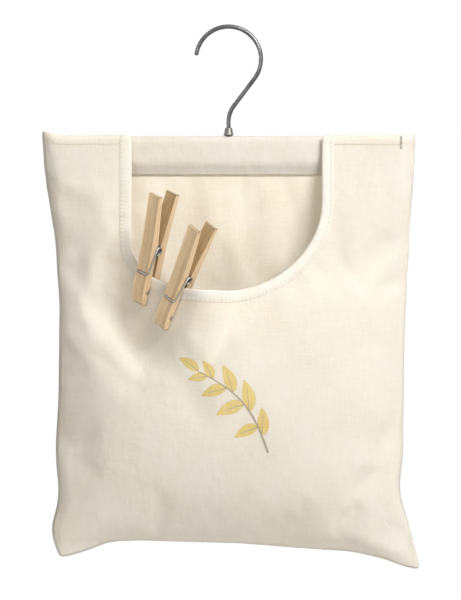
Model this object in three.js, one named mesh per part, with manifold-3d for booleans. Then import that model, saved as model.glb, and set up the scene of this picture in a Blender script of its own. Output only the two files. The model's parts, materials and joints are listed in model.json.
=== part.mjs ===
// Peg bag: a canvas bag hung from a wooden bar with a wire hook, with two spring pegs clipped to its mouth.
// Millimetres, +Z up. The front of the bag faces -Y. The origin is where the hook's crook bears on the line.
import * as THREE from "three";
import { mergeVertices } from "three/addons/utils/BufferGeometryUtils.js";
import Module from "manifold-3d";

const wasm = await Module();
wasm.setup();
const { clamp, degToRad, lerp, smoothstep } = THREE.MathUtils;

// Cloth, and the room left between pieces that lie against each other
const CLOTH = 0.8;
const GAP = 0.3;

// Bag: flat size, and how far the filled bag swells and draws its seams in
const BAG_WIDTH = 275;
const BAG_HEIGHT = 315;
const FRONT_SWELL = 40;
const BACK_SWELL = 30;
const FRONT_SAG = 1.5;
const BACK_SAG = 2;
const SIDE_PINCH = 10;
const BOTTOM_RISE = 15;
const BOTTOM_SKEW = 3.5;

// Casing: the top of the back panel, turned forward over the bar and stitched down
const CASING_DEPTH = 29;
const CASING_END = 8;
const CASING_FADE = 75;

// Mouth: a U cut in the front panel, squarer at the left corner where the pegs pull it, and its bound edge
const MOUTH_LEFT = 72;
const MOUTH_RIGHT = 69.5;
const MOUTH_DEPTH = 115;
const MOUTH_LOWEST = -5;
const LEFT_CORNER = 41.5;
const RIGHT_CORNER = 67.5;
const LEFT_SQUARENESS = 2.5;
const RIGHT_SQUARENESS = 2;
const BINDING_WIDTH = 8;
const BINDING_THICKNESS = 0.5;
const BINDING_ROOM = 0.6;

// Hanger bar
const BAR_HEIGHT = 18;
const BAR_THICKNESS = 8;
const BAR_END_ROUND = 1.5;

// Hook: wire shank, reverse bend at the neck, and crook
const WIRE = 3.3;
const NECK_HEIGHT = 10.4;
const NECK_RADIUS = 20;
const NECK_ANGLE = 37;
const CROOK_RADIUS = 24;
const CROOK_TIP_ANGLE = 170;
const HEAD_RADIUS = 2.8;
const HEAD_HEIGHT = 1.5;
const WASHER_RADIUS = 3.25;
const WASHER_THICKNESS = 1;
const EYELET_RADIUS = 3.8;
const EYELET_HEIGHT = 5.6;
const EYELET_WALL = 0.7;

// Pegs: two halves each, and a torsion spring between them
const PEG_LENGTH = 85;
const PEG_BREADTH = 10;
const PEG_THICKNESS = 6;
const PEG_TIP = 2.6;
const JAW_TAPER = 15;
const LINE_NOTCH_FROM_TIP = 10;
const LINE_NOTCH_RADIUS = 2.4;
const HANDLE_SPREAD = 6;
const HANDLE_FLARE = 3;
const HANDLE_ROUND = 1.2;
const COIL_FROM_TIP = 42;
const COIL_RADIUS = 3.2;
const COIL_TURNS = 5;
const SPRING_WIRE = 1.4;
const ARM_REACH = 17;
const ARM_END = 4;
const ARM_BEND = 1.6;

// Grip: the patch of cloth that both pegs hold lies flat, turned to the left and downwards and drawn out by them
const GRIP_TURN = 40;
const GRIP_DIP = 10;
const GRIP_OUT = 9;
const GRIP_FLAT = 11;
const GRIP_FADE = 34;
// Each peg: where its axis meets the mouth's edge, how far it is pushed on, and how far it leans to the right
const PEG_1_EDGE = -58.5;
const PEG_1_BITE = 22;
const PEG_1_LEAN_ANGLE = 12;
const PEG_2_EDGE = -35.5;
const PEG_2_BITE = 33;
const PEG_2_LEAN_ANGLE = 22;
const PEGS = [
  { name: "peg_1", edge: PEG_1_EDGE, bite: PEG_1_BITE, lean: PEG_1_LEAN_ANGLE },
  { name: "peg_2", edge: PEG_2_EDGE, bite: PEG_2_BITE, lean: PEG_2_LEAN_ANGLE },
];

// Mesh steps
const BACK_COLUMNS = 18;
const BACK_ROWS = 16;
const FRONT_STEP = 13;
const GRIP_STEP = 6;
const FOLD_STEPS = 6;
const LEG_ROWS = 5;
const CORNER_STEPS = 24;
const MOUTH_STEPS = 60;
const WIRE_SIDES = 10;
const HOOK_STEPS = 64;
const ROUND_STEPS = 20;
const COIL_STEPS = 8;
const SPRING_SIDES = 6;

// Places worked out from the sizes above, measured from the bag's top fold
const SEAM_HALF = (CLOTH + GAP) / 2;
const HEM_HALF = CLOTH / 2 + BINDING_ROOM + BINDING_THICKNESS;
const BAR_HALF = BAG_WIDTH / 2 - CASING_END;
const BAR_TOP = -(CLOTH + GAP);
const BAR_BOTTOM = BAR_TOP - BAR_HEIGHT;
const LEG_HALF = BAR_THICKNESS / 2 + GAP + CLOTH / 2;
const NECK = degToRad(NECK_ANGLE);
const NECK_RUN = (CROOK_RADIUS * Math.cos(NECK) - NECK_RADIUS * (1 - Math.cos(NECK))) / Math.sin(NECK);
const CROOK_CENTRE =
  NECK_HEIGHT + (CROOK_RADIUS + NECK_RADIUS) * Math.sin(NECK) + NECK_RUN * Math.cos(NECK);
const HANG_HEIGHT = CROOK_CENTRE + CROOK_RADIUS - WIRE / 2;
const WASHER_TOP = BAR_BOTTOM - GAP;
const HEAD_TOP = WASHER_TOP - WASHER_THICKNESS - GAP;
const SHANK_BORE = WIRE / 2 + GAP;
const JAW_HALF = HEM_HALF + GAP;
const OUTER_FACE = JAW_HALF + PEG_THICKNESS;
const COIL_SEAT = COIL_RADIUS + SPRING_WIRE / 2 + GAP;
const ARM_SIDE = PEG_BREADTH / 2 + GAP + SPRING_WIRE / 2;
const ARM_GROOVE = SPRING_WIRE / 2 + 2 * GAP;

// Materials, in the photographed colours
const canvas = new THREE.MeshStandardMaterial({ color: 0xf4e9d6, roughness: 0.95, metalness: 0 });
const tape = new THREE.MeshStandardMaterial({ color: 0xf9f2e3, roughness: 0.9, metalness: 0 });
const barWood = new THREE.MeshStandardMaterial({ color: 0xd9b98a, roughness: 0.7, metalness: 0 });
const pegWood = new THREE.MeshStandardMaterial({ color: 0xd3b88a, roughness: 0.65, metalness: 0 });
const steel = new THREE.MeshStandardMaterial({ color: 0x9a9a9a, roughness: 0.25, metalness: 1 });
const plated = new THREE.MeshStandardMaterial({ color: 0xb9b7ae, roughness: 0.35, metalness: 1 });

// Booleans
function toSolid(geometry) {
  const bare = geometry.clone();
  bare.deleteAttribute("normal");
  bare.deleteAttribute("uv");
  const merged = mergeVertices(bare, 1e-4);
  return new wasm.Manifold(
    new wasm.Mesh({
      numProp: 3,
      vertProperties: new Float32Array(merged.attributes.position.array),
      triVerts: new Uint32Array(merged.index.array),
    }),
  );
}

function toGeometry(solid) {
  const mesh = solid.getMesh();
  const geometry = new THREE.BufferGeometry();
  geometry.setAttribute("position", new THREE.BufferAttribute(mesh.vertProperties, 3));
  geometry.setIndex(new THREE.BufferAttribute(mesh.triVerts, 1));
  geometry.computeVertexNormals();
  return geometry;
}

const cut = (body, tool) => toGeometry(toSolid(body).subtract(toSolid(tool)));
const join = (body, other) => toGeometry(toSolid(body).add(toSolid(other)));

// A closed skin through rings of points, each ring with as many points as the last, and both ends capped
function loft(rings, capFaces) {
  const sides = rings[0].length;
  const index = [];
  for (let r = 0; r + 1 < rings.length; r++) {
    for (let k = 0; k < sides; k++) {
      const a = r * sides + k;
      const b = r * sides + ((k + 1) % sides);
      index.push(a, b, b + sides, a, b + sides, a + sides);
    }
  }
  const last = (rings.length - 1) * sides;
  for (const [a, b, c] of capFaces) {
    index.push(a, c, b, last + a, last + b, last + c);
  }
  const geometry = new THREE.BufferGeometry().setFromPoints(rings.flat());
  geometry.setIndex(index);
  geometry.computeVertexNormals();
  return geometry;
}

// A ring-section body turned about Z, from a closed profile of [radius, height] points
function turned(profile) {
  const points = [...profile, profile[0]].map(([r, z]) => new THREE.Vector2(r, z));
  return new THREE.LatheGeometry(points, ROUND_STEPS).rotateX(Math.PI / 2);
}

function uprightCylinder(radius, top, bottom) {
  const middle = (top + bottom) / 2;
  const upright = new THREE.CylinderGeometry(radius, radius, top - bottom, ROUND_STEPS).rotateX(Math.PI / 2);
  return upright.translate(0, 0, middle);
}

function steps(from, to, count) {
  return Array.from({ length: count + 1 }, (_, i) => lerp(from, to, i / count));
}

// Outline of the filled bag, with z measured down from the top fold and u across from -1 to 1
function halfWidth(z) {
  const v = clamp(-z / BAG_HEIGHT, 0, 1);
  return BAG_WIDTH / 2 - SIDE_PINCH * Math.sin(Math.PI * v) ** 0.6;
}

function bagHeight(u) {
  return BAG_HEIGHT + BOTTOM_SKEW * u - BOTTOM_RISE * (1 - u ** 4);
}

// How far across the bag the bar reaches, where the bag is narrowest beside it
const BAR_END = (BAR_HALF + GAP) / halfWidth(BAR_BOTTOM);

// Fullness of a panel: flat at its seams, deepest below the middle, and lower down the more it sags
function fullness(u, v, sag) {
  const across = clamp(1 - Math.abs(u) ** 2.4, 0, 1) ** 0.8;
  const down = Math.sin(Math.PI * clamp(v, 0, 1) ** sag) ** 0.65;
  return across * down;
}

// Half the depth of the casing: open round the bar, closed past the bar's ends and at the stitch line
const pastBar = (x, z) => smoothstep(Math.abs(x) / halfWidth(z), BAR_END, 1);

function casingHalf(x, z) {
  const belowBar = smoothstep(-z, -BAR_BOTTOM, CASING_DEPTH);
  return lerp(LEG_HALF, SEAM_HALF, Math.max(pastBar(x, z), belowBar));
}

function backY(x, z) {
  const u = x / halfWidth(z);
  const v = (-z - CASING_DEPTH) / (bagHeight(u) - CASING_DEPTH);
  return casingHalf(x, z) + BACK_SWELL * fullness(u, v, BACK_SAG);
}

// The free front panel lies over the casing at the top and swells below it
function freeFrontY(x, z) {
  const u = x / halfWidth(z);
  const overBar = LEG_HALF + CLOTH / 2 + GAP + HEM_HALF;
  const overCasing = lerp(overBar, SEAM_HALF + CLOTH + 2 * GAP, pastBar(x, z));
  const faded = smoothstep(-z, CASING_DEPTH, CASING_DEPTH + CASING_FADE);
  return -(lerp(overCasing, SEAM_HALF, faded) + FRONT_SWELL * fullness(u, -z / bagHeight(u), FRONT_SAG));
}

// Mouth outline, from the top of its left side round to the top of its right side
const mouthSides = [
  { reach: MOUTH_LOWEST + MOUTH_LEFT, corner: LEFT_CORNER, squareness: LEFT_SQUARENESS, way: -1 },
  { reach: MOUTH_RIGHT - MOUTH_LOWEST, corner: RIGHT_CORNER, squareness: RIGHT_SQUARENESS, way: 1 },
];

function mouthSide({ reach, corner, squareness, way }) {
  const straight = steps(0, corner - MOUTH_DEPTH, CORNER_STEPS);
  const side = straight.slice(0, -1).map((z) => new THREE.Vector2(MOUTH_LOWEST + way * reach, z));
  for (const angle of steps(0, Math.PI / 2, CORNER_STEPS)) {
    const across = Math.max(Math.cos(angle), 0) ** (2 / squareness);
    const down = Math.sin(angle) ** (2 / squareness);
    side.push(new THREE.Vector2(MOUTH_LOWEST + way * reach * across, corner - MOUTH_DEPTH - corner * down));
  }
  return side;
}

function mouthOutline() {
  const [left, right] = mouthSides.map(mouthSide);
  return new THREE.SplineCurve([...left, ...right.reverse().slice(1)]).getSpacedPoints(MOUTH_STEPS);
}

function mouthEdgeZ(x) {
  const { reach, corner, squareness } = mouthSides[x < MOUTH_LOWEST ? 0 : 1];
  const across = Math.abs(x - MOUTH_LOWEST) / reach;
  return corner - MOUTH_DEPTH - corner * (1 - across ** squareness) ** (1 / squareness);
}

// Directions away from the opening at each point of the outline
function mouthNormals(outline) {
  return outline.map((point, i) => {
    const along = outline[Math.min(i + 1, outline.length - 1)].clone().sub(outline[Math.max(i - 1, 0)]);
    return new THREE.Vector2(along.y, -along.x).normalize();
  });
}

// The gripped patch of cloth: a plane that both pegs straddle
const gripNormal = new THREE.Vector3(0, -1, 0).applyEuler(
  new THREE.Euler(degToRad(GRIP_DIP), 0, -degToRad(GRIP_TURN), "XYZ"),
);

// A peg's frame: z along its axis to the handles, -y out of the cloth's front, and its bite from tip to mouth edge
function pegFrame({ edge, bite, lean }) {
  const out = gripNormal.clone();
  const tilt = Math.tan(degToRad(lean));
  const axis = new THREE.Vector3(tilt, -(out.x * tilt + out.z) / out.y, 1).normalize();
  const side = new THREE.Vector3().crossVectors(out.clone().negate(), axis);
  const biteTop = new THREE.Vector2(edge, mouthEdgeZ(edge));
  const biteTip = biteTop.clone().addScaledVector(new THREE.Vector2(axis.x, axis.z), -bite);
  return { out, axis, side, biteTop, biteTip };
}

const pegFrames = PEGS.map(pegFrame);
const biteMiddles = pegFrames.map(({ biteTop, biteTip }) => biteTop.clone().lerp(biteTip, 0.5));
const gripCentre = biteMiddles.at(-1);
const gripCentreY = freeFrontY(gripCentre.x, gripCentre.y) - GRIP_OUT;

function gripPlaneY(x, z) {
  return gripCentreY - (gripNormal.x * (x - gripCentre.x) + gripNormal.z * (z - gripCentre.y)) / gripNormal.y;
}

function distanceToBite(point, { biteTop, biteTip }) {
  const run = biteTop.clone().sub(biteTip);
  const along = clamp(point.clone().sub(biteTip).dot(run) / run.lengthSq(), 0, 1);
  return point.distanceTo(biteTip.clone().addScaledVector(run, along));
}

function frontY(x, z) {
  const point = new THREE.Vector2(x, z);
  const away = pegFrames.map((frame) => distanceToBite(point, frame));
  const freed = away.map((distance) => smoothstep(distance, GRIP_FLAT, GRIP_FLAT + GRIP_FADE));
  return lerp(gripPlaneY(x, z), freeFrontY(x, z), freed[0] * freed[1]);
}

// A point of the front panel's middle surface, and the cloth's outward direction there
function frontPoint(x, z) {
  return new THREE.Vector3(x, frontY(x, z), z);
}

function frontNormal(x, z) {
  const h = 0.5;
  const slopeX = (frontY(x + h, z) - frontY(x - h, z)) / (2 * h);
  const slopeZ = (frontY(x, z + h) - frontY(x, z - h)) / (2 * h);
  return new THREE.Vector3(slopeX, -1, slopeZ).normalize();
}

// Columns across a panel: over the bar, with one more at each side seam
function backColumns() {
  return [-1, ...steps(-BAR_END, BAR_END, BACK_COLUMNS), 1];
}

// Places from one end to the other, closer together between two places where the pegs bend the cloth
function graded(from, fineFrom, fineTo, to, size) {
  const run = (a, b, step) => steps(a, b, Math.ceil((Math.abs(b - a) * size) / step)).slice(0, -1);
  const fine = run(fineFrom, fineTo, GRIP_STEP);
  return [...run(from, fineFrom, FRONT_STEP), ...fine, ...run(fineTo, to, FRONT_STEP), to];
}

// The stretch of the panel that the pegs bend, across and down
function bentStretch(axis) {
  const ends = pegFrames.flatMap(({ biteTop, biteTip }) => [biteTop[axis], biteTip[axis]]);
  const reach = GRIP_FLAT + GRIP_FADE + FRONT_STEP;
  return [Math.min(...ends) - reach, Math.max(...ends) + reach];
}

function frontColumns() {
  const half = BAG_WIDTH / 2;
  const [left, right] = bentStretch("x").map((x) => clamp(x / half, -BAR_END, BAR_END));
  return [-1, ...graded(-BAR_END, left, right, BAR_END, half), 1];
}

function frontRows() {
  const [low, high] = bentStretch("y").map((z) => clamp(-z / BAG_HEIGHT, 0, 1));
  return graded(0, high, low, 1, BAG_HEIGHT);
}

// A sheet of cloth round its middle surface: rows of points along the cloth, thickened both ways
function sheet(rows) {
  const at = (r, c) => rows[clamp(r, 0, rows.length - 1)][clamp(c, 0, rows[0].length - 1)];
  const faces = [1, -1].map((way) =>
    rows.map((row, r) =>
      row.map((point, c) => {
        const across = at(r, c + 1).clone().sub(at(r, c - 1));
        const down = at(r + 1, c).clone().sub(at(r - 1, c));
        const normal = across.cross(down).normalize();
        return point.clone().addScaledVector(normal, (way * CLOTH) / 2);
      }),
    ),
  );
  const rings = rows.map((_, r) => [...faces[0][r], ...faces[1][r].slice().reverse()]);
  const width = rows[0].length;
  const capFaces = [];
  for (let c = 0; c + 1 < width; c++) {
    const back = 2 * width - 1 - c;
    capFaces.push([c, c + 1, back - 1], [c, back - 1, back]);
  }
  return loft(rings, capFaces);
}

function frontPanel() {
  const columns = frontColumns();
  const rows = frontRows().map((v) =>
    columns.map((u) => {
      const z = -v * bagHeight(u);
      return frontPoint(u * halfWidth(z), z);
    }),
  );
  const outline = mouthOutline();
  const normals = mouthNormals(outline);
  const inset = BINDING_THICKNESS + BINDING_ROOM;
  const edge = outline.map((point, i) => point.clone().addScaledVector(normals[i], inset));
  const above = new THREE.Vector2(0, BAG_HEIGHT);
  const opening = new THREE.Shape([edge[0].clone().add(above), ...edge, edge.at(-1).clone().add(above)]);
  const reach = 2 * (FRONT_SWELL + BACK_SWELL + BAG_WIDTH);
  const tool = new THREE.ExtrudeGeometry(opening, { depth: reach, bevelEnabled: false });
  return cut(sheet(rows), tool.translate(0, 0, -reach / 2).rotateX(Math.PI / 2));
}

// The back panel starts at the casing's stitched hem, climbs in front of the bar, folds over it and hangs behind
function backPanel() {
  const columns = backColumns();
  const rows = [];
  const row = (place) => rows.push(columns.map(place));
  const foldRadius = (u) => casingHalf(u * halfWidth(-CLOTH / 2), -CLOTH / 2);
  for (const t of steps(0, 1, LEG_ROWS).slice(0, -1)) {
    row((u) => {
      const z = lerp(-CASING_DEPTH, -CLOTH / 2 - LEG_HALF, t);
      const x = u * halfWidth(z);
      return new THREE.Vector3(x, -casingHalf(x, z), z);
    });
  }
  for (const angle of steps(Math.PI, 0, FOLD_STEPS)) {
    row((u) => {
      const z = -CLOTH / 2 - LEG_HALF * (1 - Math.sin(angle));
      return new THREE.Vector3(u * halfWidth(z), foldRadius(u) * Math.cos(angle), z);
    });
  }
  for (const t of steps(0, 1, LEG_ROWS).slice(1)) {
    row((u) => {
      const z = lerp(-CLOTH / 2 - LEG_HALF, -CASING_DEPTH, t);
      const x = u * halfWidth(z);
      return new THREE.Vector3(x, backY(x, z), z);
    });
  }
  for (const t of steps(0, 1, BACK_ROWS).slice(1)) {
    row((u) => {
      const z = lerp(-CASING_DEPTH, -bagHeight(u), t);
      const x = u * halfWidth(z);
      return new THREE.Vector3(x, backY(x, z), z);
    });
  }
  const shankHole = uprightCylinder(SHANK_BORE + EYELET_WALL + GAP, LEG_HALF, BAR_TOP - GAP);
  return cut(sheet(rows), shankHole);
}

// The tape folded over the mouth's edge: its section, from the fold (across 0) into the cloth, follows the edge
function mouthBinding() {
  const inner = HEM_HALF - BINDING_THICKNESS;
  const fold = BINDING_THICKNESS;
  const section = [
    [BINDING_WIDTH, inner],
    [fold, inner],
    [fold, -inner],
    [BINDING_WIDTH, -inner],
    [BINDING_WIDTH, -HEM_HALF],
    [fold, -HEM_HALF],
    [0, -inner],
    [0, inner],
    [fold, HEM_HALF],
    [BINDING_WIDTH, HEM_HALF],
  ];
  const outline = mouthOutline();
  const normals = mouthNormals(outline);
  const rings = outline.map((point, i) =>
    section.map(([across, out]) => {
      const { x, y } = point.clone().addScaledVector(normals[i], across);
      return frontPoint(x, y).addScaledVector(frontNormal(x, y), out);
    }),
  );
  const flat = section.map(([across, out]) => new THREE.Vector2(-across, out));
  const capFaces = THREE.ShapeUtils.triangulateShape(flat, []);
  return loft(rings, capFaces);
}

// The bar: a lath with rounded long edges and eased ends, bored upright for the hook's shank
function hangerBar() {
  const round = BAR_THICKNESS / 2;
  const section = new THREE.Shape();
  section.absarc(0, BAR_TOP - round, round, 0, Math.PI);
  section.absarc(0, BAR_BOTTOM + round, round, Math.PI, 2 * Math.PI);
  const length = 2 * (BAR_HALF - BAR_END_ROUND);
  const lath = new THREE.ExtrudeGeometry(section, {
    depth: length,
    curveSegments: 8,
    bevelSize: BAR_END_ROUND,
    bevelOffset: -BAR_END_ROUND,
    bevelThickness: BAR_END_ROUND,
    bevelSegments: 2,
  });
  const alongX = new THREE.Matrix4().makeBasis(
    new THREE.Vector3(0, 1, 0),
    new THREE.Vector3(0, 0, 1),
    new THREE.Vector3(1, 0, 0),
  );
  lath.translate(0, 0, -length / 2).applyMatrix4(alongX);
  return cut(lath, uprightCylinder(SHANK_BORE, BAR_TOP + GAP, BAR_BOTTOM - GAP));
}

// A bend of the hook's wire in the XZ plane
class Bend extends THREE.Curve {
  constructor(centreX, centreZ, radius, from, to) {
    super();
    Object.assign(this, { centreX, centreZ, radius, from, to });
  }

  getPoint(t, target = new THREE.Vector3()) {
    const angle = lerp(this.from, this.to, t);
    const x = this.centreX + this.radius * Math.cos(angle);
    return target.set(x, 0, this.centreZ + this.radius * Math.sin(angle));
  }
}

function hookLine() {
  const neckBend = new Bend(NECK_RADIUS, NECK_HEIGHT, NECK_RADIUS, Math.PI, Math.PI - NECK);
  const crook = new Bend(0, CROOK_CENTRE, CROOK_RADIUS, -NECK, degToRad(CROOK_TIP_ANGLE));
  const line = new THREE.CurvePath();
  line.add(new THREE.LineCurve3(new THREE.Vector3(0, 0, HEAD_TOP), neckBend.getPoint(0)));
  line.add(neckBend);
  line.add(new THREE.LineCurve3(neckBend.getPoint(1), crook.getPoint(0)));
  line.add(crook);
  return line;
}

function hook() {
  const section = new THREE.Shape().absarc(0, 0, WIRE / 2, 0, 2 * Math.PI);
  const wire = new THREE.ExtrudeGeometry(section, {
    steps: HOOK_STEPS,
    curveSegments: WIRE_SIDES / 2,
    extrudePath: hookLine(),
  });
  const waist = HEAD_RADIUS * 0.7;
  const head = turned([
    [0, HEAD_TOP],
    [0, HEAD_TOP - HEAD_HEIGHT],
    [waist, HEAD_TOP - HEAD_HEIGHT],
    [HEAD_RADIUS, HEAD_TOP - HEAD_HEIGHT / 2],
    [HEAD_RADIUS, HEAD_TOP],
  ]);
  return join(wire, head);
}

// The eyelet in the casing's top: a barrel through the cloth under a tapered collar
function hookEyelet() {
  const barrel = SHANK_BORE + EYELET_WALL;
  const rim = GAP + EYELET_HEIGHT / 5;
  return turned([
    [SHANK_BORE, -CLOTH],
    [barrel, -CLOTH],
    [barrel, GAP],
    [EYELET_RADIUS, GAP],
    [EYELET_RADIUS, rim],
    [barrel, GAP + EYELET_HEIGHT],
    [SHANK_BORE, GAP + EYELET_HEIGHT],
  ]);
}

function hookWasher() {
  return turned([
    [SHANK_BORE, WASHER_TOP - WASHER_THICKNESS],
    [WASHER_RADIUS, WASHER_TOP - WASHER_THICKNESS],
    [WASHER_RADIUS, WASHER_TOP],
    [SHANK_BORE, WASHER_TOP],
  ]);
}

// One half of a peg, drawn along its length from the coil's centre and outward from the cloth's middle
function pegHalf() {
  const tip = -COIL_FROM_TIP;
  const end = PEG_LENGTH - COIL_FROM_TIP;
  const seat = Math.asin(JAW_HALF / COIL_SEAT);
  const handleInner = JAW_HALF + HANDLE_SPREAD;
  const handleOuter = OUTER_FACE + HANDLE_FLARE;
  const profile = new THREE.Shape();
  profile.moveTo(tip, JAW_HALF);
  profile.absarc(tip + LINE_NOTCH_FROM_TIP, JAW_HALF, LINE_NOTCH_RADIUS, Math.PI, 0, true);
  profile.absarc(0, 0, COIL_SEAT, Math.PI - seat, seat, true);
  profile.lineTo(end, handleInner);
  profile.lineTo(end, handleOuter - HANDLE_ROUND);
  profile.quadraticCurveTo(end, handleOuter, end - HANDLE_ROUND, handleOuter);
  profile.lineTo(COIL_SEAT, OUTER_FACE);
  profile.absarc(-ARM_REACH, OUTER_FACE, ARM_GROOVE, 0, Math.PI, true);
  profile.lineTo(tip + JAW_TAPER, OUTER_FACE);
  profile.quadraticCurveTo(tip + JAW_TAPER / 3, OUTER_FACE, tip, JAW_HALF + PEG_TIP);
  const half = new THREE.ExtrudeGeometry(profile, {
    depth: PEG_BREADTH,
    curveSegments: 6,
    bevelEnabled: false,
  });
  const upright = new THREE.Matrix4().makeBasis(
    new THREE.Vector3(0, 0, 1),
    new THREE.Vector3(0, -1, 0),
    new THREE.Vector3(1, 0, 0),
  );
  return half.translate(0, 0, -PEG_BREADTH / 2).applyMatrix4(upright);
}

// The spring's line: an arm hooked over the front half, the coil, and the same arm turned about for the back half
function springLine() {
  const corner = new THREE.Vector3(ARM_SIDE, -OUTER_FACE, -ARM_REACH);
  const away = Math.hypot(ARM_REACH, OUTER_FACE);
  const leave = Math.PI - Math.atan2(OUTER_FACE, ARM_REACH) - Math.acos(COIL_RADIUS / away);
  const onCoil = (side, angle) =>
    new THREE.Vector3(side, -COIL_RADIUS * Math.sin(angle), COIL_RADIUS * Math.cos(angle));
  const toCorner = corner.clone().sub(onCoil(ARM_SIDE, leave)).normalize();
  const inward = new THREE.Vector3(-1, 0, 0);
  const bendCentre = corner.clone().addScaledVector(toCorner, -ARM_BEND).addScaledVector(inward, ARM_BEND);
  const arm = [new THREE.Vector3(-ARM_END, -OUTER_FACE, -ARM_REACH)];
  arm.push(new THREE.Vector3(0, -OUTER_FACE, -ARM_REACH));
  for (const angle of steps(Math.PI / 2, 0, 3)) {
    const bent = bendCentre.clone().addScaledVector(toCorner, ARM_BEND * Math.sin(angle));
    arm.push(bent.addScaledVector(inward, -ARM_BEND * Math.cos(angle)));
  }
  arm.push(arm.at(-1).clone().lerp(onCoil(ARM_SIDE, leave), 0.5));
  const turn = 2 * Math.PI * COIL_TURNS + 2 * leave;
  const count = Math.round((turn / (2 * Math.PI)) * COIL_STEPS);
  const coil = steps(0, 1, count).map((t) => onCoil(lerp(ARM_SIDE, -ARM_SIDE, t), leave - turn * t));
  const otherArm = arm.map((p) => new THREE.Vector3(-p.x, -p.y, p.z)).reverse();
  return [...arm, ...coil, ...otherArm];
}

// A round wire along a line of points, its section carried from point to point without twisting
function wireAlong(line, diameter) {
  const direction = (i) =>
    line[Math.min(i + 1, line.length - 1)].clone().sub(line[Math.max(i - 1, 0)]).normalize();
  let normal = new THREE.Vector3(0, 0, 1).cross(direction(0)).normalize();
  const rings = line.map((point, i) => {
    const ahead = direction(i);
    normal = normal.clone().addScaledVector(ahead, -normal.dot(ahead)).normalize();
    const other = new THREE.Vector3().crossVectors(ahead, normal);
    return Array.from({ length: SPRING_SIDES }, (_, k) => {
      const angle = (2 * Math.PI * k) / SPRING_SIDES;
      const spoke = normal.clone().multiplyScalar(Math.cos(angle)).addScaledVector(other, Math.sin(angle));
      return point.clone().addScaledVector(spoke, diameter / 2);
    });
  });
  const fan = Array.from({ length: SPRING_SIDES - 2 }, (_, k) => [0, k + 1, k + 2]);
  return loft(rings, fan);
}

// The least gap of a wire to itself, between points further apart along it than half a turn of its coil
function leastGap(line, diameter) {
  const apart = Math.PI * COIL_RADIUS;
  const run = [0];
  line.slice(1).forEach((point, i) => run.push(run[i] + point.distanceTo(line[i])));
  let least = Infinity;
  line.forEach((a, i) =>
    line.forEach((b, j) => {
      if (run[j] - run[i] > apart) least = Math.min(least, a.distanceTo(b));
    }),
  );
  return least - diameter;
}

function piece(name, geometry, material) {
  const mesh = new THREE.Mesh(geometry, material);
  mesh.name = name;
  return mesh;
}

// A peg on the mouth's edge: its group stands at the coil's centre, on the gripped patch
function peg({ name, bite }, { out, axis, side, biteTop }) {
  const group = new THREE.Group();
  group.name = name;
  const atEdge = new THREE.Vector3(biteTop.x, gripPlaneY(biteTop.x, biteTop.y), biteTop.y);
  const basis = new THREE.Matrix4().makeBasis(side, out.clone().negate(), axis);
  group.quaternion.setFromRotationMatrix(basis);
  group.position.copy(atEdge.addScaledVector(axis, COIL_FROM_TIP - bite));
  const line = springLine();
  const back = piece(name + "_back_half", pegHalf(), pegWood);
  back.rotation.z = Math.PI;
  group.add(piece(name + "_front_half", pegHalf(), pegWood), back);
  group.add(piece(name + "_spring", wireAlong(line, SPRING_WIRE), plated));
  console.log(`${name}_spring: least gap to itself ${leastGap(line, SPRING_WIRE).toFixed(2)} mm`);
  return group;
}

const bag = new THREE.Group();
bag.add(piece("hook", hook(), steel));
bag.add(piece("hook_eyelet", hookEyelet(), plated));
bag.add(piece("hook_washer", hookWasher(), plated));
bag.add(piece("hanger_bar", hangerBar(), barWood));
bag.add(piece("back_panel", backPanel(), canvas));
bag.add(piece("front_panel", frontPanel(), canvas));
bag.add(piece("mouth_binding", mouthBinding(), tape));
PEGS.forEach((place, i) => bag.add(peg(place, pegFrames[i])));
bag.position.z = -HANG_HEIGHT;

const pegBag = new THREE.Group();
pegBag.add(bag);
export default pegBag;
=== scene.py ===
"""Peg bag: a canvas bag on a hanger bar, with a wire hook and two spring pegs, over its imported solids."""
import json
import math
from collections import Counter

import bpy
import numpy as np
from mathutils import Matrix, Vector
from mathutils.bvhtree import BVHTree


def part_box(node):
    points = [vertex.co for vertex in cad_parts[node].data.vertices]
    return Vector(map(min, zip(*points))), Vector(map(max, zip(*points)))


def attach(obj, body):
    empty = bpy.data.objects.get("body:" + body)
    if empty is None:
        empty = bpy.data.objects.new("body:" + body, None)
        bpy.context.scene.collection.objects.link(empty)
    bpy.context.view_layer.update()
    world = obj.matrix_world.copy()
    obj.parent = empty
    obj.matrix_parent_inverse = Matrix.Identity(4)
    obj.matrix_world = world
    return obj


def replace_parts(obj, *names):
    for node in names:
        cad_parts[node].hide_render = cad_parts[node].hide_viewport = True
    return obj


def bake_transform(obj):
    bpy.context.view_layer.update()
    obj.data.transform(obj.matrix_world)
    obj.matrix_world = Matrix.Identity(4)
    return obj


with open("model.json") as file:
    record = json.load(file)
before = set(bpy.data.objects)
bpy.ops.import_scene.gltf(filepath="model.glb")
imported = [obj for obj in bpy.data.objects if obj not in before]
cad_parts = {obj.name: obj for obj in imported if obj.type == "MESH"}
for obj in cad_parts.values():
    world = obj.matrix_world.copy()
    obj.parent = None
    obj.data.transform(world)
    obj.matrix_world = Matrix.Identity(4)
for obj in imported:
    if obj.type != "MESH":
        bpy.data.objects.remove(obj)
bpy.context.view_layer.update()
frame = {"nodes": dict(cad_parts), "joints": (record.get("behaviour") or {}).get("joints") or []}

scene = bpy.context.scene

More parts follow.
